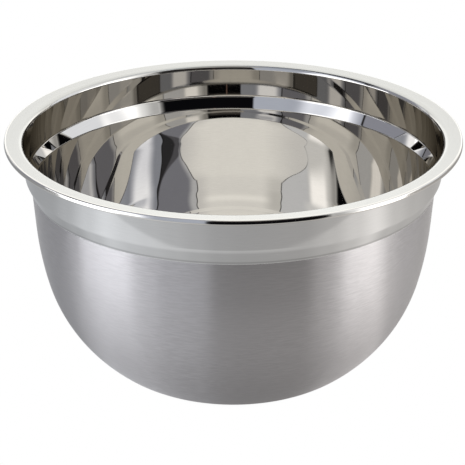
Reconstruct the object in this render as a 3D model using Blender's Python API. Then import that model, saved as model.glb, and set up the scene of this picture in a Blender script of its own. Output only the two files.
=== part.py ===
"""Deep stainless mixing bowl, pressed from one round blank.

Metres, +Z up.  The origin is the middle of the underside of the flat base,
so the bowl stands on z = 0.  The whole bowl is a single sheet: base, heel,
belly, wall, shoulder step, collar, pouring flange and the edge curled back
under the flange are one continuous piece of metal, turned about the Z axis.
"""

import math

import bmesh
import bpy

# Overall size
RIM_RADIUS = 0.1300
HEIGHT = 0.1435
SHEET = 0.0007

# Body: three bends of growing radius, then a straight wall
HEEL_RADIUS = 0.0357
BELLY_RADIUS = 0.0932
BELLY_SWEEP = 35.5
SIDE_RADIUS = 0.1900
SIDE_SWEEP = 10.0
WALL_TAPER = 2.6

# Shoulder step between the body and the collar
STEP_LEAN = 23.0
STEP_LOWER_BEND = 0.0034
STEP_UPPER_BEND = 0.0060
STEP_SLANT = 0.0065

# Collar and pouring flange
COLLAR_FLARE = 1.3
COLLAR_HEIGHT = 0.0169
MOUTH_BEND = 0.0030
FLANGE_RISE = 5.0
FLANGE_WIDTH = 0.0062

# Edge of the flange, curled under and back towards the collar
CURL_GAP = 0.0007
CURL_LEG = 0.0035

# Facets round the Z axis
SEGMENTS = 80


def straight(length):
    """A straight stretch of the sheet's middle line."""
    return {"length": length, "radius": 0.0, "turn": 0.0, "steps": 1}


def bend(radius, turn_deg, steps):
    """A round stretch; a positive turn curves upwards."""
    turn = math.radians(turn_deg)
    return {"length": 0.0, "radius": radius, "turn": turn, "steps": steps}


def walk(moves):
    """Positions and headings along the middle line, from the base centre."""
    r, z, heading = 0.0, SHEET / 2.0, 0.0
    stations = [(r, z, heading)]
    for move in moves:
        if move["turn"] == 0.0:
            r += move["length"] * math.cos(heading)
            z += move["length"] * math.sin(heading)
            stations.append((r, z, heading))
            continue
        side = math.copysign(1.0, move["turn"])
        centre_r = r - side * move["radius"] * math.sin(heading)
        centre_z = z + side * move["radius"] * math.cos(heading)
        start = heading
        for step in range(1, move["steps"] + 1):
            heading = start + move["turn"] * step / move["steps"]
            r = centre_r + side * move["radius"] * math.sin(heading)
            z = centre_z - side * move["radius"] * math.cos(heading)
            stations.append((r, z, heading))
    return stations


def bowl_moves(base_length, wall_length):
    """The sheet from the base centre out to its cut edge under the flange."""
    heel_sweep = 90.0 - WALL_TAPER - SIDE_SWEEP - BELLY_SWEEP
    step_out = STEP_LEAN - WALL_TAPER
    step_back = STEP_LEAN - COLLAR_FLARE
    mouth_turn = 90.0 - COLLAR_FLARE - FLANGE_RISE
    return [
        straight(base_length),
        bend(HEEL_RADIUS, heel_sweep, 5),
        bend(BELLY_RADIUS, BELLY_SWEEP, 4),
        bend(SIDE_RADIUS, SIDE_SWEEP, 2),
        straight(wall_length),
        bend(STEP_LOWER_BEND, -step_out, 2),
        straight(STEP_SLANT),
        bend(STEP_UPPER_BEND, step_back, 2),
        straight(COLLAR_HEIGHT),
        bend(MOUTH_BEND, -mouth_turn, 5),
        straight(FLANGE_WIDTH),
        bend((SHEET + CURL_GAP) / 2.0, -180.0, 6),
        straight(CURL_LEG),
    ]


def solve_lengths():
    """Base and wall lengths that give the stated rim radius and height."""
    stations = walk(bowl_moves(0.0, 0.0))
    short_r = RIM_RADIUS - max(r for r, z, heading in stations) - SHEET / 2.0
    short_z = HEIGHT - max(z for r, z, heading in stations) - SHEET / 2.0
    wall = short_z / math.cos(math.radians(WALL_TAPER))
    base = short_r - wall * math.sin(math.radians(WALL_TAPER))
    return base, wall


def sheet_outline():
    """Closed outline of the sheet: inner face outwards, outer face back."""
    stations = walk(bowl_moves(*solve_lengths()))
    inner = []
    outer = []
    for r, z, heading in stations:
        across_r = -math.sin(heading) * SHEET / 2.0
        across_z = math.cos(heading) * SHEET / 2.0
        inner.append((r + across_r, z + across_z))
        outer.append((r - across_r, z - across_z))
    return inner + outer[::-1]


def turned_mesh(name, outline):
    """Turn an outline that starts and ends on the axis about Z."""
    mesh = bmesh.new()
    rings = []
    for r, z in outline:
        if r < 1e-9:
            rings.append([mesh.verts.new((0.0, 0.0, z))])
            continue
        ring = []
        for segment in range(SEGMENTS):
            angle = 2.0 * math.pi * segment / SEGMENTS
            ring.append(mesh.verts.new((r * math.cos(angle), r * math.sin(angle), z)))
        rings.append(ring)
    for lower, upper in zip(rings, rings[1:]):
        for segment in range(SEGMENTS):
            following = (segment + 1) % SEGMENTS
            if len(lower) == 1:
                mesh.faces.new((lower[0], upper[segment], upper[following]))
            elif len(upper) == 1:
                mesh.faces.new((upper[0], lower[following], lower[segment]))
            else:
                corners = (lower[segment], upper[segment])
                corners += (upper[following], lower[following])
                mesh.faces.new(corners)
    bmesh.ops.recalc_face_normals(mesh, faces=mesh.faces)
    bmesh.ops.triangulate(mesh, faces=mesh.faces)
    data = bpy.data.meshes.new(name)
    mesh.to_mesh(data)
    mesh.free()
    data.shade_smooth()
    data.set_sharp_from_angle(angle=math.radians(40.0))
    return data


def stainless(name):
    """Pale stainless sheet."""
    material = bpy.data.materials.new(name)
    material.use_nodes = True
    shader = material.node_tree.nodes["Principled BSDF"]
    shader.inputs["Base Color"].default_value = (0.62, 0.62, 0.61, 1.0)
    shader.inputs["Metallic"].default_value = 1.0
    shader.inputs["Roughness"].default_value = 0.22
    return material


def build():
    for existing in list(bpy.data.objects):
        bpy.data.objects.remove(existing, do_unlink=True)
    bowl = bpy.data.objects.new("bowl_shell", turned_mesh("bowl_shell", sheet_outline()))
    bowl.data.materials.append(stainless("stainless_sheet"))
    bpy.context.scene.collection.objects.link(bowl)


build()
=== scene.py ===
"""Looks of the pressed stainless mixing bowl.

The frame gives the overall size.  The bowl is turned here as one fine sheet
and finished zone by zone, as the real one is: mirror polish inside, on the
collar and under the flange, a plainer polish on top of the flange, and satin
brushing round the outside of the body.

Steel shows what stands round it, so the studio is described as what the metal
sees: a pale backdrop behind, a softbox and cards on either side, and the dark
gap in front where the camera stands.  The camera itself sees plain white.
Azimuths are degrees round the bowl from the camera's side, positive to the
camera's right, and elevations are degrees above the horizon.  Lengths are in
metres.
"""

import math
from collections import namedtuple

import bpy
import numpy as np
from mathutils import Euler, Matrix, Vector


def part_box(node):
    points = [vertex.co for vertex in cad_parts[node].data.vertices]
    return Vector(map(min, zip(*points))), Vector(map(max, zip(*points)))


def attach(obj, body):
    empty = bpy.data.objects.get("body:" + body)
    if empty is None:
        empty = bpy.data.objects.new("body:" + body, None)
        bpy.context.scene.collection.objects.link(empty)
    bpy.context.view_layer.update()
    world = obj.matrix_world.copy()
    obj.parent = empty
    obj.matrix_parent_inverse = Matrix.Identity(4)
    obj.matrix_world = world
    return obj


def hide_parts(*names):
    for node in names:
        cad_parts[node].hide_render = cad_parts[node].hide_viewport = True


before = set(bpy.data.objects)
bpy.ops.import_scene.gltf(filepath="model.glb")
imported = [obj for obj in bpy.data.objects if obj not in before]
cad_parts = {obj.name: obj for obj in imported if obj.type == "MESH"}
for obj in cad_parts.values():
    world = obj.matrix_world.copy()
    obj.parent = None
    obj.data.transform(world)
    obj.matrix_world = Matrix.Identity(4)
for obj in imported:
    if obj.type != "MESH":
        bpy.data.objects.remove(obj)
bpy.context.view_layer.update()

# Overall size, from the frame
LOW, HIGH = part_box("bowl_shell")
RIM_RADIUS = (HIGH.x - LOW.x) / 2.0
HEIGHT = HIGH.z - LOW.z

# Sheet and its bends, from the base outwards
SHEET = 0.0007
HEEL_RADIUS = 0.0357
BELLY_RADIUS = 0.0932
BELLY_SWEEP = 35.5
SIDE_RADIUS = 0.1900
SIDE_SWEEP = 10.0
WALL_TAPER = 2.6
STEP_LEAN = 23.0
STEP_LOWER_BEND = 0.0034
STEP_UPPER_BEND = 0.0060
STEP_SLANT = 0.0065
COLLAR_FLARE = 1.3
COLLAR_HEIGHT = 0.0169
MOUTH_BEND = 0.0030
MOUTH_MIRROR_SHARE = 0.4
FLANGE_RISE = 5.0
FLANGE_WIDTH = 0.0062
CURL_GAP = 0.0007
CURL_FACE = 0.0009
CURL_LEAN = 15.0
CURL_LEG = 0.0035

# Fineness of the turned sheet: facets round, and degrees to a facet along wide and tight bends
SEGMENTS = 416
WIDE_BEND = 0.0300
WIDE_BEND_STEP = 1.5
TIGHT_BEND_STEP = 9.0

# Finishes, in the order of the mesh's material slots
INSIDE, RIM, EDGE, COLLAR, BODY, UNDERSIDE = range(6)

# One stretch of the sheet's middle line, with its finish on the upper and the lower face.  The bend
# mark is 1 on a convex bend, where a painted highlight brightens the colour and the polish is blurred
# a little, and -1 in a crease, where a painted shade darkens the colour.
Move = namedtuple("Move", "length radius turn steps upper lower wear")

# Bare steel: share of red, green and blue sent back at each reflection
STEEL = (0.662, 0.646, 0.619)
SATIN_STEEL = (0.560, 0.544, 0.550)
FLANGE_STEEL = (0.490, 0.489, 0.474)
COLLAR_STEEL = (0.652, 0.650, 0.645)

# Patterns on the steel.  Lines that run round the bowl have two scales: the radius of one turn,
# counted in waves, and waves to a metre across the lines.  The other patterns have waves to a metre.
POLISHING_LINES = (14.0, 2600.0)
FINE_BRUSHING = (16.0, 3400.0)
COARSE_BRUSHING = (15.0, 1250.0)
FINE_SHARE = 0.4
SMEARS = 42.0
UNEVEN_SHEET = 34.0
CLOUDS = 18.0

# How far the patterns change the steel's colour and roughness
LINE_CONTRAST = 0.015
SMEAR_GREY = 0.975
SMEAR_BLUR = 1.6
# Painted highlight: how much brighter the colour is made on the convex bends
BEND_HIGHLIGHT = 1.05
WORN_BLUR = 0.02
# Painted shade: how much greyer the colour is made in the crease
CREASE_SHADE = 0.45
STREAK_CONTRAST = 0.08
CLOUD_GREY = 0.985
BRUSH_UNEVEN = 0.02

# Camera, at the photograph's viewing angle: its elevation is seen from the middle of the rim, its
# tilt is downwards, and the sensor and the lens are in millimetres
CAMERA_DISTANCE = 5.4 * RIM_RADIUS
CAMERA_ELEVATION = 20.15
CAMERA_TILT = 25.1
SENSOR = 36.0
FOCAL_LENGTH = 94.4
SIDE_SHIFT = -0.0019

# A lit or dark surface of the studio, between two side edges and two elevations.  An edge is
# an azimuth, or a list of (elevation, azimuth) that it passes through from low to high.
Panel = namedtuple("Panel", "left right low high soft_side soft_end colour")
FLOOR_END = -90.0
ZENITH = 95.0
EDGE_LOW = -20.0
EDGE_HIGH = 60.0
BACKDROP = (1.45, 1.45, 1.42)
LEFT_WALL_EDGE = [
    (-20, -138), (16, -136.2), (19.5, -135.2), (22.4, -136.6), (23.9, -132.6), (28.2, -125.8),
    (31.8, -119.8), (34.7, -113.3), (37.7, -109.2), (40.5, -108), (44, -108), (60, -112),
]
CARD_EDGE = [
    (-20, -127), (17, -127), (23, -128), (27, -124), (31, -117), (35, -111), (40, -107.5), (60, -105),
]
DARK_CARD_EDGE = [
    (-20, -84), (24, -86.8), (27, -90), (29.3, -94.5), (31.7, -100), (34, -105.5), (36, -108.6),
    (38.5, -107), (42, -107), (60, -105),
]
BLACK_CARD_EDGE = [
    (-20, -84), (23, -86.4), (27, -89.6), (29, -92.4), (31.7, -96), (34, -98.5), (37, -100),
    (42, -100), (60, -100),
]
LEFT_BOX_EDGE = [
    (-20, -83), (16, -82.5), (20, -85.5), (24.5, -83.9), (27.5, -86.2), (31, -86.8), (33.3, -86.2),
    (36.7, -82.4), (40, -79), (60, -72),
]
LEFT_LIGHT_EDGE = [(-20, -77), (20, -77), (24, -77), (28, -74), (33, -70.5), (40, -67), (60, -64)]
LEFT_BOX_END = [(-20, -40), (16, -40), (20, -42), (24, -46), (28, -50), (35, -55), (60, -60)]
LEFT_GLOW_END = [(-20, -43), (15, -43), (20, -46), (27, -52), (60, -58)]
RIGHT_WALL_EDGE = [
    (-20, 124), (16, 122), (19.5, 121), (22.4, 121.5), (24, 118.6), (27, 109), (29.7, 93.5),
    (31, 87), (32.3, 83.5), (33.6, 82), (35, 82), (37.2, 83.2), (40, 85), (60, 95),
]

# Thin dark outlines where one surface ends in front of another
LINE = 0.6
LINE_SOFT = 0.4
LINE_GREY = (0.12, 0.12, 0.12)


def shifted(edge, turn):
    """The same edge turned round the bowl by some degrees."""
    return [(elevation, azimuth + turn) for elevation, azimuth in edge]


# Each panel is laid over the ones before it
PANELS = {
    "backdrop_foot": Panel(-360, 360, FLOOR_END, 17, 5, 2, (1.60, 1.60, 1.57)),
    "backdrop_band": Panel(-360, 360, 18, 24, 5, 2, (1.36, 1.36, 1.34)),
    "back_left_side": Panel(-126, -60, FLOOR_END, ZENITH, 22, 4, (1.10, 1.10, 1.10)),
    "back_right_side": Panel(60, 118, FLOOR_END, ZENITH, 30, 4, (1.12, 1.12, 1.12)),
    "back_left_low": Panel(-146, -60, FLOOR_END, 25, 9, 5, (1.10, 1.10, 1.10)),
    "back_right_low": Panel(60, 138, FLOOR_END, 24, 9, 5, (1.00, 1.00, 0.98)),
    "left_wall_line": Panel(
        shifted(LEFT_WALL_EDGE, -LINE), -60, FLOOR_END, ZENITH, LINE_SOFT, 4, LINE_GREY),
    "left_wall": Panel(
        shifted(LEFT_WALL_EDGE, LINE), -60, FLOOR_END, ZENITH, LINE_SOFT, 4, (0.85, 0.87, 0.92)),
    "left_card": Panel(CARD_EDGE, -60, FLOOR_END, ZENITH, 4.5, 4, (0.34, 0.35, 0.41)),
    "left_dark_card": Panel(DARK_CARD_EDGE, -60, 23, ZENITH, 1.5, 3, (0.14, 0.14, 0.16)),
    "left_black_card": Panel(BLACK_CARD_EDGE, -60, 22, ZENITH, 1.6, 3, (0.045, 0.045, 0.050)),
    "left_box_line": Panel(
        shifted(LEFT_BOX_EDGE, -3.0 * LINE), -60, FLOOR_END, ZENITH, 0.6, 3, (0.03, 0.03, 0.03)),
    "left_box_side": Panel(LEFT_BOX_EDGE, -20, FLOOR_END, ZENITH, 0.6, 3, (0.46, 0.49, 0.58)),
    "left_softbox": Panel(LEFT_LIGHT_EDGE, LEFT_BOX_END, FLOOR_END, 70, 7, 4, (1.42, 1.47, 1.62)),
    "left_glow": Panel(-73, LEFT_GLOW_END, FLOOR_END, 27, 4, 4, (1.85, 1.90, 2.02)),
    "left_ledge_shade": Panel(-72, -38, 21, 24.5, 6, 1.5, (1.02, 1.07, 1.20)),
    "left_front": Panel(-38, 0, FLOOR_END, 60, 9, 4, (0.54, 0.58, 0.68)),
    "room_above": Panel(-20, 50, 45, ZENITH, 4, 6, (0.60, 0.58, 0.55)),
    "dark_room": Panel(-12.5, 46, FLOOR_END, 50, 0.8, 4, (0.004, 0.004, 0.005)),
    "camera_side": Panel(-12.5, 42, 16, 20.5, 4, 2, (0.19, 0.18, 0.17)),
    "camera_glint": Panel(10.6, 12.2, 12, 17, 0.4, 2, (0.34, 0.22, 0.18)),
    "right_box_side": Panel(45, 60, FLOOR_END, ZENITH, 2.5, 4, (0.60, 0.60, 0.60)),
    "right_dark_patch": Panel(42, 52, 29, 60, 1.6, 1.2, (0.03, 0.03, 0.03)),
    "right_wall_line": Panel(
        60, shifted(RIGHT_WALL_EDGE, LINE), FLOOR_END, ZENITH, LINE_SOFT, 4, LINE_GREY),
    "right_wall": Panel(
        60, shifted(RIGHT_WALL_EDGE, -LINE), FLOOR_END, ZENITH, LINE_SOFT, 4, (1.02, 1.05, 1.11)),
    "right_wall_top": Panel(
        60, shifted(RIGHT_WALL_EDGE, -2.0 * LINE), 32.5, ZENITH, 2, 2, (0.84, 0.88, 0.94)),
    "right_streak": Panel(73, 77, 31, ZENITH, 1.5, 2, (0.75, 0.75, 0.75)),
    "right_softbox": Panel(54, 84, FLOOR_END, 70, 5, 4, (1.12, 1.13, 1.14)),
    "right_glow": Panel(61, 83, FLOOR_END, 29, 4, 3, (2.00, 2.00, 2.02)),
    "right_ledge_shade": Panel(58, 90, 17, 20.5, 6, 1.5, (1.22, 1.24, 1.28)),
    "left_low_light": Panel(-98, -55, FLOOR_END, 8, 1, 2, (3.10, 3.16, 3.28)),
    "right_low_light": Panel(64, 97, FLOOR_END, 8, 2.5, 2, (2.90, 2.87, 2.83)),
}

# Floor as the metal sees it: brightness at azimuths round the bowl, and its tint from left to right
FLOOR_ROUND = [
    (-180, 0.62), (-150, 0.48), (-120, 0.46), (-99, 0.50), (-85, 0.62), (-71, 0.86), (-60, 1.04),
    (-48, 0.92), (-37, 0.86), (-26, 0.79), (-16, 0.71), (-6, 0.62), (5, 0.59), (30, 0.60), (45, 0.71),
    (57, 0.88), (69, 1.08), (82, 0.76), (97, 0.63), (120, 0.52), (150, 0.50), (180, 0.62),
]
FLOOR_COOL = (0.975, 1.0, 1.035)
FLOOR_WARM = (1.030, 1.0, 0.970)
TINT_REACH = 70.0
FLOOR_SIZE = 6.0
FLOOR_DROP = 0.0001

# A greyer round table in front, which begins past this circle
TABLE_CENTRE = 0.129
TABLE_RADIUS = 0.465
TABLE_BLUR = 0.003
TABLE_GREY = 0.79

# Lit and dark patches on the far floor, from this radius out, between two azimuths
Patch = namedtuple("Patch", "left right soft colour")
FAR_FLOOR = 0.41
FAR_BLUR = 0.02
PATCHES = {
    "dark_floor": Patch(-10.8, 38, 1, (0.02, 0.02, 0.02)),
    "left_lit_floor": Patch(-81, -50, 1, (2.70, 2.76, 2.88)),
    "right_lit_floor": Patch(54, 80, 2.5, (2.70, 2.67, 2.63)),
}

# The bowl's own shade on the floor, for the metal, and the fainter one that the camera sees
SHADE_DEEP = 0.60
SHADE_START = 0.065
SHADE_END = 0.250
CONTACT_SHADE = 0.90
CONTACT_REACH = 0.016
FLOOR_WHITE = 1.0

# Reflections followed, because light circles many times inside the polished collar
BOUNCES = 28


# ---------------------------------------------------------------- the sheet


def straight(length, upper, lower, steps=1, wear=0.0):
    """A straight stretch of the middle line."""
    return Move(length, 0.0, 0.0, steps, upper, lower, wear)


def bend(radius, turn_deg, upper, lower, wear=0.0):
    """A round stretch; a positive turn curves upwards."""
    step = WIDE_BEND_STEP if radius > WIDE_BEND else TIGHT_BEND_STEP
    steps = math.ceil(abs(turn_deg) / step)
    return Move(0.0, radius, math.radians(turn_deg), steps, upper, lower, wear)


def walk(moves):
    """Stations (radius, height, heading, distance walked) from the base centre."""
    r, z, heading, walked = 0.0, SHEET / 2.0, 0.0, 0.0
    stations = [(r, z, heading, walked)]
    for move in moves:
        for step in range(1, move.steps + 1):
            if move.turn == 0.0:
                piece = move.length / move.steps
                r += piece * math.cos(heading)
                z += piece * math.sin(heading)
            else:
                side = math.copysign(1.0, move.turn)
                before = heading
                heading += move.turn / move.steps
                piece = move.radius * abs(heading - before)
                r += side * move.radius * (math.sin(heading) - math.sin(before))
                z -= side * move.radius * (math.cos(heading) - math.cos(before))
            walked += piece
            stations.append((r, z, heading, walked))
    return stations


def bowl_moves(base_length, wall_length):
    """The sheet from the base centre out to its cut edge under the flange."""
    heel_sweep = 90.0 - WALL_TAPER - SIDE_SWEEP - BELLY_SWEEP
    step_out = STEP_LEAN - WALL_TAPER
    step_back = STEP_LEAN - COLLAR_FLARE
    mouth_turn = 90.0 - COLLAR_FLARE - FLANGE_RISE
    curl_bend = (SHEET + CURL_GAP) / 2.0
    return [
        straight(base_length, INSIDE, UNDERSIDE, 6),
        bend(HEEL_RADIUS, heel_sweep, INSIDE, BODY),
        bend(BELLY_RADIUS, BELLY_SWEEP, INSIDE, BODY),
        bend(SIDE_RADIUS, SIDE_SWEEP, INSIDE, BODY),
        straight(wall_length, INSIDE, BODY, 3),
        # The bends' marks paint a shade into the crease at the foot of the step and a highlight on the
        # convex bends above it
        bend(STEP_LOWER_BEND, -step_out, INSIDE, COLLAR, wear=-1.0),
        straight(STEP_SLANT, INSIDE, COLLAR, 6),
        bend(STEP_UPPER_BEND, step_back, INSIDE, COLLAR, wear=0.5),
        straight(COLLAR_HEIGHT, INSIDE, COLLAR, 2),
        bend(MOUTH_BEND, -mouth_turn * MOUTH_MIRROR_SHARE, INSIDE, COLLAR, wear=0.7),
        bend(MOUTH_BEND, -mouth_turn * (1.0 - MOUTH_MIRROR_SHARE), RIM, COLLAR, wear=0.7),
        straight(FLANGE_WIDTH, RIM, COLLAR, 3),
        bend(curl_bend, CURL_LEAN - 90.0 - FLANGE_RISE, EDGE, COLLAR, wear=1.0),
        straight(CURL_FACE, EDGE, COLLAR, wear=1.0),
        bend(curl_bend, FLANGE_RISE - 90.0 - CURL_LEAN, EDGE, COLLAR, wear=1.0),
        straight(CURL_LEG, EDGE, COLLAR, 2),
    ]


def solve_lengths():
    """Base and wall lengths that give the frame's rim radius and height."""
    stations = walk(bowl_moves(0.0, 0.0))
    short_r = RIM_RADIUS - max(station[0] for station in stations) - SHEET / 2.0
    short_z = HEIGHT - max(station[1] for station in stations) - SHEET / 2.0
    wall = short_z / math.cos(math.radians(WALL_TAPER))
    base = short_r - wall * math.sin(math.radians(WALL_TAPER))
    return base, wall


def sheet_outline():
    """Closed outline: (r, z, normal r, normal z, walked, painted highlight and shade mark) and the
    finish of each band.
    """
    moves = bowl_moves(*solve_lengths())
    stations = walk(moves)
    upper_bands = [move.upper for move in moves for step in range(move.steps)]
    lower_bands = [move.lower for move in moves for step in range(move.steps)]
    wear = [0.0] + [move.wear for move in moves for step in range(move.steps)]
    upper = []
    lower = []
    for (r, z, heading, walked), highlight_and_shade in zip(stations, wear):
        up_r, up_z = -math.sin(heading), math.cos(heading)
        half = SHEET / 2.0
        upper.append((r + up_r * half, z + up_z * half, up_r, up_z, walked, highlight_and_shade))
        lower.append((r - up_r * half, z - up_z * half, -up_r, -up_z, walked, highlight_and_shade))
    bands = upper_bands + [EDGE] + lower_bands[::-1]
    return upper + lower[::-1], bands


def turn_outline(outline, bands):
    """Vertices, normals, faces, face finishes and the two per-vertex values."""
    angles = np.arange(SEGMENTS) * (2.0 * math.pi / SEGMENTS)
    verts = []
    normals = []
    walked = []
    wear = []
    rings = []
    for r, z, normal_r, normal_z, along, highlight_and_shade in outline:
        on_axis = r < 1e-7
        turns = [0.0] if on_axis else angles
        rings.append(range(len(verts), len(verts) + len(turns)))
        for angle in turns:
            across = math.cos(angle)
            aside = math.sin(angle)
            verts.append((r * across, r * aside, z))
            normals.append((normal_r * across, normal_r * aside, normal_z))
        walked += [along] * len(turns)
        wear += [highlight_and_shade] * len(turns)
    faces = []
    finishes = []
    for lower, upper, finish in zip(rings, rings[1:], bands):
        for here in range(SEGMENTS):
            following = (here + 1) % SEGMENTS
            if len(lower) == 1:
                faces.append((lower[0], upper[here], upper[following]))
            elif len(upper) == 1:
                faces.append((upper[0], lower[following], lower[here]))
            else:
                faces.append((lower[here], upper[here], upper[following], lower[following]))
            finishes.append(finish)
    return verts, normals, faces, finishes, walked, wear


def build_bowl(materials):
    """The whole bowl as one closed sheet."""
    verts, normals, faces, finishes, walked, wear = turn_outline(*sheet_outline())
    mesh = bpy.data.meshes.new("bowl_sheet")
    mesh.from_pydata(verts, [], faces)
    mesh.shade_smooth()
    for name, values in (("walked", walked), ("wear", wear)):
        layer = mesh.attributes.new(name, "FLOAT", "POINT")
        layer.data.foreach_set("value", values)
    for material in materials:
        mesh.materials.append(material)
    mesh.polygons.foreach_set("material_index", finishes)
    mesh.normals_split_custom_set_from_vertices(normals)
    bowl = bpy.data.objects.new("bowl_sheet", mesh)
    bpy.context.scene.collection.objects.link(bowl)
    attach(bowl, "root")
    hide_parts("bowl_shell")
    return bowl


# ---------------------------------------------------------------- node trees


class Wiring:
    """Short calls for wiring one node tree."""

    def __init__(self, tree):
        self.tree = tree
        tree.nodes.clear()

    def node(self, kind, **settings):
        made = self.tree.nodes.new(kind)
        for name, value in settings.items():
            setattr(made, name, value)
        return made

    def put(self, socket, value):
        """Feeds an input from an output, or sets its own value."""
        if isinstance(value, bpy.types.NodeSocket):
            self.tree.links.new(value, socket)
        elif isinstance(value, tuple) and len(value) == 3 and socket.type == "RGBA":
            socket.default_value = (*value, 1.0)
        else:
            socket.default_value = value

    def math(self, operation, first, second=0.0):
        made = self.node("ShaderNodeMath", operation=operation)
        self.put(made.inputs[0], first)
        self.put(made.inputs[1], second)
        return made.outputs[0]

    def ramp(self, value, low, high, to_low=0.0, to_high=1.0):
        """A smooth step from to_low at low to to_high at high."""
        made = self.node("ShaderNodeMapRange", interpolation_type="SMOOTHSTEP")
        for name, setting in zip(("Value", "From Min", "From Max", "To Min", "To Max"),
                                 (value, low, high, to_low, to_high)):
            self.put(made.inputs[name], setting)
        return made.outputs["Result"]

    def mix(self, share, under, over):
        """The colour over laid on the colour under."""
        made = self.node("ShaderNodeMix", data_type="RGBA")
        sockets = [socket for socket in made.inputs if socket.type == "RGBA"]
        self.put(made.inputs[0], share)
        self.put(sockets[0], under)
        self.put(sockets[1], over)
        return next(socket for socket in made.outputs if socket.type == "RGBA")

    def split(self, vector):
        made = self.node("ShaderNodeSeparateXYZ")
        self.put(made.inputs[0], vector)
        return made.outputs

    def join(self, x, y, z):
        made = self.node("ShaderNodeCombineXYZ")
        for socket, value in zip(made.inputs, (x, y, z)):
            self.put(socket, value)
        return made.outputs[0]

    def length(self, x, y):
        """Distance of a place from the axis."""
        squares = self.math("ADD", self.math("MULTIPLY", x, x), self.math("MULTIPLY", y, y))
        return self.math("SQRT", squares)

    def scaled(self, colour, level):
        """A colour made brighter or darker."""
        made = self.node("ShaderNodeVectorMath", operation="SCALE")
        self.put(made.inputs[0], colour)
        self.put(made.inputs["Scale"], level)
        return made.outputs[0]

    def noise(self, vector, scale, detail=2.0, roughness=0.5):
        made = self.node("ShaderNodeTexNoise")
        self.put(made.inputs["Vector"], vector)
        self.put(made.inputs["Scale"], scale)
        self.put(made.inputs["Detail"], detail)
        self.put(made.inputs["Roughness"], roughness)
        return made.outputs["Fac"]

    def attribute(self, name):
        return self.node("ShaderNodeAttribute", attribute_name=name).outputs["Fac"]

    def bump(self, height, distance, normal=None):
        made = self.node("ShaderNodeBump")
        self.put(made.inputs["Height"], height)
        self.put(made.inputs["Distance"], distance)
        if normal is not None:
            self.put(made.inputs["Normal"], normal)
        return made.outputs["Normal"]


# ---------------------------------------------------------------- finishes


def ring_coordinates(wiring, line_scales):
    """A place on the sheet, stretched so that noise runs in streaks round the bowl."""
    round_scale, across_scale = line_scales
    x, y, z = wiring.split(wiring.node("ShaderNodeTexCoord").outputs["Object"])
    radius = wiring.math("MAXIMUM", wiring.length(x, y), 1e-5)
    scale = wiring.math("DIVIDE", round_scale, radius)
    across = wiring.math("MULTIPLY", wiring.attribute("walked"), across_scale)
    return wiring.join(wiring.math("MULTIPLY", x, scale), wiring.math("MULTIPLY", y, scale), across)


def finish_material(name):
    """A new material with its wiring, Principled shader and object coordinates."""
    material = bpy.data.materials.new(name)
    material.use_nodes = True
    wiring = Wiring(material.node_tree)
    shader = wiring.node("ShaderNodeBsdfPrincipled")
    shader.inputs["Metallic"].default_value = 1.0
    output = wiring.node("ShaderNodeOutputMaterial")
    wiring.put(output.inputs["Surface"], shader.outputs[0])
    place = wiring.node("ShaderNodeTexCoord").outputs["Object"]
    return material, wiring, shader, place


def tinted(colour, factor):
    """A darker or brighter version of a fixed colour."""
    return tuple(channel * factor for channel in colour)


def polished(name, colour, roughness, waviness, line_depth, crease_shade_share=0.0):
    """Buffed steel: faint polishing lines, smears left by handling and slightly uneven sheet."""
    material, wiring, shader, place = finish_material(name)
    lines = wiring.noise(ring_coordinates(wiring, POLISHING_LINES), 1.0, 3.0, 0.6)
    smears = wiring.ramp(wiring.noise(place, SMEARS, 4.0, 0.62), 0.50, 0.72)
    waves = wiring.noise(place, UNEVEN_SHEET, 1.0)
    wear = wiring.attribute("wear")

    dark_line = tinted(colour, 1.0 - LINE_CONTRAST)
    bright_line = tinted(colour, 1.0 + LINE_CONTRAST)
    grey = wiring.mix(wiring.ramp(lines, 0.35, 0.65), dark_line, bright_line)
    grey = wiring.mix(wiring.math("MULTIPLY", smears, 0.5), grey, tinted(colour, SMEAR_GREY))
    # Painted highlight: the colour is made brighter on the convex bends, where the bend mark is above 0
    bright = wiring.mix(wiring.math("MULTIPLY", wear, 0.5), grey, tinted(colour, BEND_HIGHLIGHT))
    # Painted shade: the colour is made greyer in the crease, where the bend mark is below 0
    crease = wiring.ramp(wear, -1.0, -0.1, crease_shade_share, 0.0)
    wiring.put(shader.inputs["Base Color"], wiring.mix(crease, bright, tinted(colour, CREASE_SHADE)))

    worn_blur = wiring.math("MULTIPLY", wiring.math("MAXIMUM", wear, 0.0), WORN_BLUR)
    smeared_blur = wiring.ramp(smears, 0.0, 1.0, roughness, roughness * SMEAR_BLUR)
    wiring.put(shader.inputs["Roughness"], wiring.math("ADD", worn_blur, smeared_blur))
    rolled = wiring.bump(waves, waviness)
    wiring.put(shader.inputs["Normal"], wiring.bump(lines, line_depth, rolled))
    return material


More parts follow.
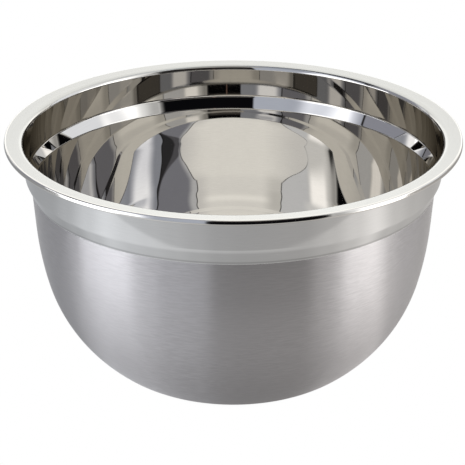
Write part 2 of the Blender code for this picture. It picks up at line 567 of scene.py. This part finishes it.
def brushed(name, colour, roughness, grain_depth):
    """Satin steel brushed round the bowl, which spreads light up and down the wall."""
    material, wiring, shader, place = finish_material(name)
    fine = wiring.noise(ring_coordinates(wiring, FINE_BRUSHING), 1.0, 2.0, 0.6)
    coarse = wiring.noise(ring_coordinates(wiring, COARSE_BRUSHING), 1.0, 3.0, 0.65)
    cloud = wiring.noise(place, CLOUDS, 3.0, 0.55)
    grain = wiring.math("ADD", wiring.math("MULTIPLY", fine, FINE_SHARE),
                        wiring.math("MULTIPLY", coarse, 1.0 - FINE_SHARE))

    dark_streak = tinted(colour, 1.0 - STREAK_CONTRAST)
    bright_streak = tinted(colour, 1.0 + STREAK_CONTRAST)
    streaked = wiring.mix(wiring.ramp(grain, 0.38, 0.62), dark_streak, bright_streak)
    clouded = wiring.ramp(cloud, 0.35, 0.7, 0.0, 0.6)
    wiring.put(shader.inputs["Base Color"], wiring.mix(clouded, streaked, tinted(colour, CLOUD_GREY)))

    low_blur = roughness - BRUSH_UNEVEN
    high_blur = roughness + BRUSH_UNEVEN
    wiring.put(shader.inputs["Roughness"], wiring.ramp(grain, 0.3, 0.7, low_blur, high_blur))
    shader.inputs["Anisotropic"].default_value = 1.0
    shader.inputs["Anisotropic Rotation"].default_value = 0.25
    tangent = wiring.node("ShaderNodeTangent", direction_type="RADIAL", axis="Z")
    wiring.put(shader.inputs["Tangent"], tangent.outputs[0])
    wiring.put(shader.inputs["Normal"], wiring.bump(grain, grain_depth))
    return material


def bowl_finishes():
    """One material for each finish, in slot order."""
    return [
        polished("steel_polished_inside", STEEL,
                 roughness=0.015, waviness=2e-6, line_depth=4e-8),
        polished("steel_polished_flange", FLANGE_STEEL,
                 roughness=0.14, waviness=6e-6, line_depth=4e-7),
        polished("steel_polished_edge", STEEL,
                 roughness=0.050, waviness=3e-6, line_depth=1e-7),
        # The collar gets the painted shade in the crease at the foot of the step
        polished("steel_polished_collar", COLLAR_STEEL,
                 roughness=0.038, waviness=5e-6, line_depth=2e-7, crease_shade_share=0.5),
        brushed("steel_brushed_body", SATIN_STEEL, roughness=0.31, grain_depth=4e-5),
        brushed("steel_brushed_underside", SATIN_STEEL, roughness=0.36, grain_depth=4e-5),
    ]


# ---------------------------------------------------------------- studio


def make_camera():
    """A long lens at the photograph's viewing angle."""
    data = bpy.data.cameras.new("camera")
    data.sensor_width = SENSOR
    data.lens = FOCAL_LENGTH
    data.shift_x = SIDE_SHIFT
    camera = bpy.data.objects.new("camera", data)
    elevation = math.radians(CAMERA_ELEVATION)
    camera.location = (0.0, -CAMERA_DISTANCE * math.cos(elevation),
                       HEIGHT + CAMERA_DISTANCE * math.sin(elevation))
    camera.rotation_euler = Euler((math.radians(90.0 - CAMERA_TILT), 0.0, 0.0))
    bpy.context.scene.collection.objects.link(camera)
    bpy.context.scene.camera = camera
    return camera


def make_turntable(camera):
    """An empty that faces the camera, so that the studio stays put while the bowl is turned."""
    turntable = bpy.data.objects.new("turntable", None)
    bpy.context.scene.collection.objects.link(turntable)
    facing = turntable.constraints.new("LOCKED_TRACK")
    facing.target = camera
    facing.track_axis = "TRACK_NEGATIVE_Y"
    facing.lock_axis = "LOCK_Z"
    return turntable


def round_azimuth(wiring, x, y):
    """Degrees round the bowl from the camera's side."""
    angle = wiring.math("ARCTAN2", x, wiring.math("MULTIPLY", y, -1.0))
    return wiring.math("DEGREES", angle)


def stretch(wiring, value, low, high, soft):
    """1 between low and high, fading to 0 over soft on either side of each."""
    above = wiring.ramp(value, low - soft, low + soft)
    below = wiring.ramp(value, high - soft, high + soft, 1.0, 0.0)
    return wiring.math("MULTIPLY", above, below)


def edge_azimuth(wiring, elevation, edge):
    """Azimuth of a panel's edge at an elevation."""
    if not isinstance(edge, list):
        return edge
    made = wiring.node("ShaderNodeFloatCurve")
    curve = made.mapping.curves[0]
    places = [((e - EDGE_LOW) / (EDGE_HIGH - EDGE_LOW), a / 360.0 + 0.5) for e, a in edge]
    while len(curve.points) < len(places):
        curve.points.new(0.5, 0.5)
    for point, place in zip(curve.points, places):
        point.location = place
        point.handle_type = "AUTO_CLAMPED"
    made.mapping.update()
    share = wiring.math("DIVIDE", wiring.math("SUBTRACT", elevation, EDGE_LOW), EDGE_HIGH - EDGE_LOW)
    wiring.put(made.inputs["Value"], share)
    return wiring.math("MULTIPLY", wiring.math("SUBTRACT", made.outputs[0], 0.5), 360.0)


def beyond(wiring, value, edge, soft):
    """0 below an edge and 1 above it, changing over soft on either side."""
    return wiring.ramp(wiring.math("SUBTRACT", value, edge), -soft, soft)


def lay_panel(wiring, sky, azimuth, elevation, panel):
    """The sky's colour with one panel laid over it."""
    left = beyond(wiring, azimuth, edge_azimuth(wiring, elevation, panel.left), panel.soft_side)
    past_right = beyond(wiring, azimuth, edge_azimuth(wiring, elevation, panel.right), panel.soft_side)
    ends = stretch(wiring, elevation, panel.low, panel.high, panel.soft_end)
    between = wiring.math("MULTIPLY", left, wiring.math("SUBTRACT", 1.0, past_right))
    return wiring.mix(wiring.math("MULTIPLY", between, ends), sky, panel.colour)


def light_world(turntable):
    """White for the camera; the studio's backdrop, softboxes and dark gap for the metal."""
    world = bpy.data.worlds.new("studio")
    bpy.context.scene.world = world
    world.use_nodes = True
    wiring = Wiring(world.node_tree)
    direction = wiring.node("ShaderNodeTexCoord", object=turntable).outputs["Object"]
    x, y, z = wiring.split(direction)
    azimuth = round_azimuth(wiring, x, y)
    elevation = wiring.math("DEGREES", wiring.math("ARCSINE", z))
    sky = BACKDROP
    for panel in PANELS.values():
        sky = lay_panel(wiring, sky, azimuth, elevation, panel)
    seen = wiring.mix(wiring.node("ShaderNodeLightPath").outputs["Is Camera Ray"], sky, (1.0, 1.0, 1.0))
    background = wiring.node("ShaderNodeBackground")
    wiring.put(background.inputs["Color"], seen)
    output = wiring.node("ShaderNodeOutputWorld")
    wiring.put(output.inputs["Surface"], background.outputs[0])


def floor_round(wiring, azimuth):
    """The floor's brightness by azimuth, as a smooth ramp round the bowl."""
    ramp = wiring.node("ShaderNodeValToRGB")
    ramp.color_ramp.interpolation = "EASE"
    stops = ramp.color_ramp.elements
    while len(stops) < len(FLOOR_ROUND):
        stops.new(0.5)
    brightest = max(level for angle, level in FLOOR_ROUND)
    for stop, (angle, level) in zip(stops, FLOOR_ROUND):
        stop.position = (angle + 180.0) / 360.0
        stop.color = (level / brightest,) * 3 + (1.0,)
    share = wiring.math("DIVIDE", wiring.math("ADD", azimuth, 180.0), 360.0)
    wiring.put(ramp.inputs["Fac"], share)
    return wiring.math("MULTIPLY", ramp.outputs["Color"], brightest)


def table_level(wiring, x, y):
    """1 near the bowl, and the greyer table past its edge in front."""
    reach = wiring.length(x, wiring.math("SUBTRACT", y, TABLE_CENTRE))
    return wiring.ramp(reach, TABLE_RADIUS - TABLE_BLUR, TABLE_RADIUS + TABLE_BLUR, 1.0, TABLE_GREY)


def floor_for_metal(wiring, x, y, radius):
    """The floor's light as the steel sees it."""
    azimuth = round_azimuth(wiring, x, y)
    level = wiring.math("MULTIPLY", floor_round(wiring, azimuth), table_level(wiring, x, y))
    tint = wiring.mix(wiring.ramp(azimuth, -TINT_REACH, TINT_REACH), FLOOR_COOL, FLOOR_WARM)
    light = wiring.scaled(tint, level)
    far = wiring.ramp(radius, FAR_FLOOR - FAR_BLUR, FAR_FLOOR + FAR_BLUR)
    for patch in PATCHES.values():
        share = stretch(wiring, azimuth, patch.left, patch.right, patch.soft)
        light = wiring.mix(wiring.math("MULTIPLY", share, far), light, patch.colour)
    return wiring.scaled(light, wiring.ramp(radius, SHADE_START, SHADE_END, SHADE_DEEP, 1.0))


def floor_material(turntable):
    """White with a faint shadow for the camera, and the designed floor for the metal."""
    material = bpy.data.materials.new("floor_white")
    material.use_nodes = True
    material.cycles.emission_sampling = "NONE"
    wiring = Wiring(material.node_tree)
    x, y, z = wiring.split(wiring.node("ShaderNodeTexCoord", object=turntable).outputs["Object"])
    radius = wiring.length(x, y)
    metal_sees = floor_for_metal(wiring, x, y, radius)
    base = solve_lengths()[0]
    camera_sees = wiring.ramp(radius, base, base + CONTACT_REACH, CONTACT_SHADE, FLOOR_WHITE)
    is_camera = wiring.node("ShaderNodeLightPath").outputs["Is Camera Ray"]
    emission = wiring.node("ShaderNodeEmission")
    wiring.put(emission.inputs["Color"], wiring.mix(is_camera, metal_sees, camera_sees))
    output = wiring.node("ShaderNodeOutputMaterial")
    wiring.put(output.inputs["Surface"], emission.outputs[0])
    return material


def make_floor(turntable):
    """A plain floor just under the bowl."""
    half = FLOOR_SIZE / 2.0
    corners = [(-half, -half, 0.0), (half, -half, 0.0), (half, half, 0.0), (-half, half, 0.0)]
    mesh = bpy.data.meshes.new("floor")
    mesh.from_pydata(corners, [], [(0, 1, 2, 3)])
    mesh.materials.append(floor_material(turntable))
    floor = bpy.data.objects.new("floor", mesh)
    floor.location.z = -FLOOR_DROP
    bpy.context.scene.collection.objects.link(floor)


def main():
    """The bowl, its finishes, the camera and the studio."""
    build_bowl(bowl_finishes())
    camera = make_camera()
    turntable = make_turntable(camera)
    light_world(turntable)
    make_floor(turntable)
    scene = bpy.context.scene
    scene.view_settings.view_transform = "Standard"
    scene.cycles.min_light_bounces = BOUNCES
    scene.cycles.max_bounces = BOUNCES
    scene.cycles.glossy_bounces = BOUNCES


main()
